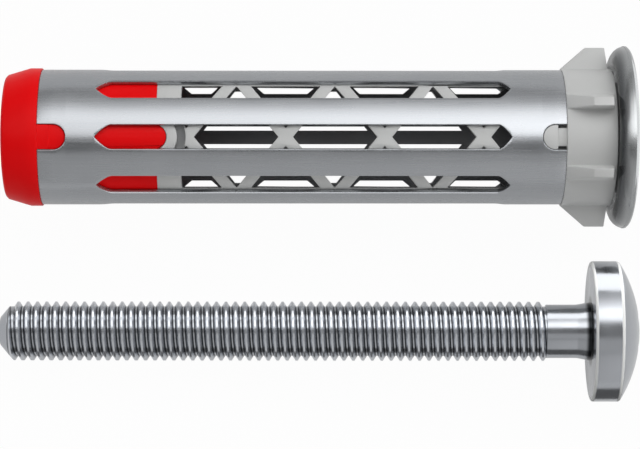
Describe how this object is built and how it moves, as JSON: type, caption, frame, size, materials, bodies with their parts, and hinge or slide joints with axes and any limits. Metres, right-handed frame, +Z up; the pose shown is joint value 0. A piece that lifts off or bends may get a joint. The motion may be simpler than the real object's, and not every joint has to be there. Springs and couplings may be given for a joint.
{
  "type": "hollow wall anchor",
  "caption": "Hollow wall anchor: slotted steel sleeve between a finned grey plastic collar and a red end cap, with its flange, cage and nut, and its cross-recess machine screw lying beside it.",
  "frame": {"origin": "on the ground under the middle of the pair, anchor and screw lying side by side", "axes": "+X towards the anchor's flange and the screw's head, +Y from the screw to the anchor, +Z up"},
  "size_m": [0.054, 0.0298, 0.0152],
  "materials": {
    "zinc_plated_steel": "satin zinc plate",
    "grey_nylon": "moulded, satin",
    "red_nylon": "moulded, semi-gloss"
  },
  "bodies": {
    "root": {"sleeve": "zinc_plated_steel", "flange": "zinc_plated_steel", "collar": "grey_nylon", "end_cap": "red_nylon", "nut": "zinc_plated_steel", "screw": "zinc_plated_steel"}
  },
  "joints": []
}
